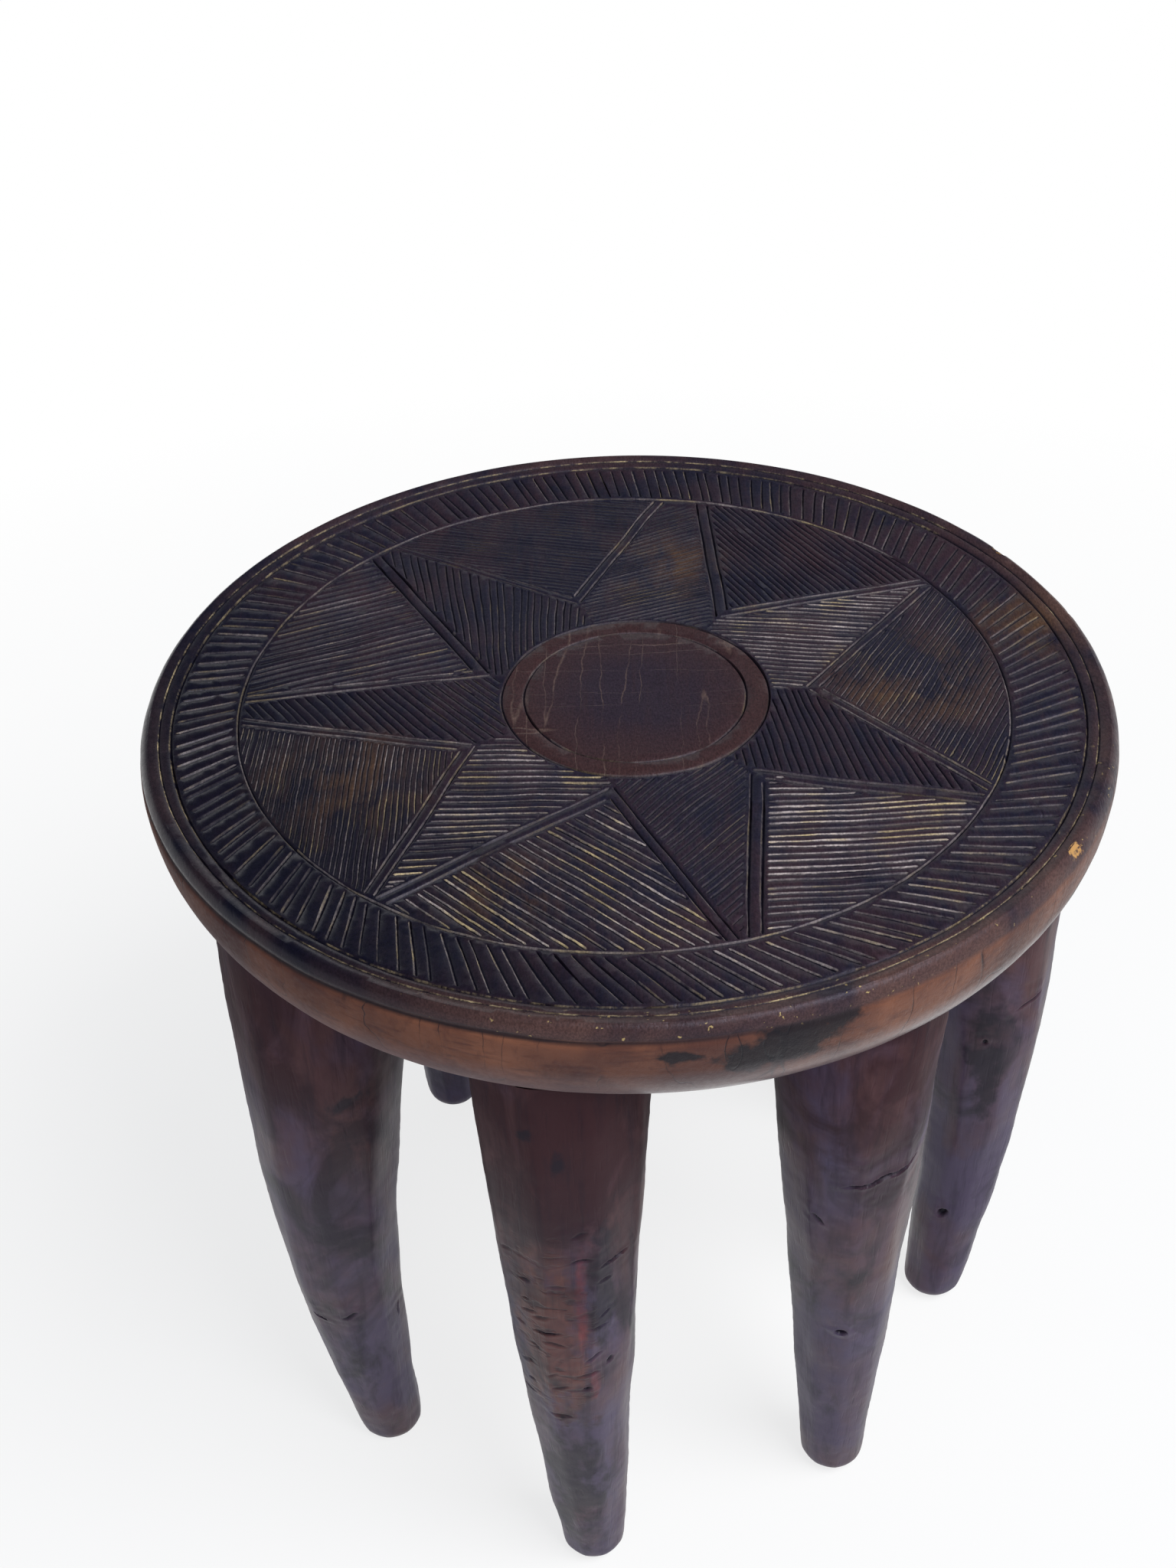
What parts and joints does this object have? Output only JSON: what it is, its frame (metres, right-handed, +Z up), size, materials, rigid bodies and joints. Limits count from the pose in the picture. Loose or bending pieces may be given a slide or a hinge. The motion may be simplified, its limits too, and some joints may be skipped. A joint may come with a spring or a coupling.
{
  "type": "carved wooden stool",
  "caption": "Round carved wooden stool with a dished seat, an incised star in a border of slanting ticks, and bowed tapering legs tenoned into its underside.",
  "frame": {"origin": "on the floor, under the middle of the seat", "axes": "+Z up; -Y towards the viewer of the picture, +X to the viewer's right"},
  "size_m": [0.423, 0.423, 0.4],
  "materials": {
    "seat_wood": "dark stained, worn and waxed",
    "leg_wood": "dark stained, satin"
  },
  "bodies": {
    "root": {"seat": "seat_wood", "leg_right": "leg_wood", "leg_back_right": "leg_wood", "leg_back": "leg_wood", "leg_back_left": "leg_wood", "leg_left": "leg_wood", "leg_front_left": "leg_wood", "leg_front": "leg_wood", "leg_front_right": "leg_wood"}
  },
  "joints": []
}
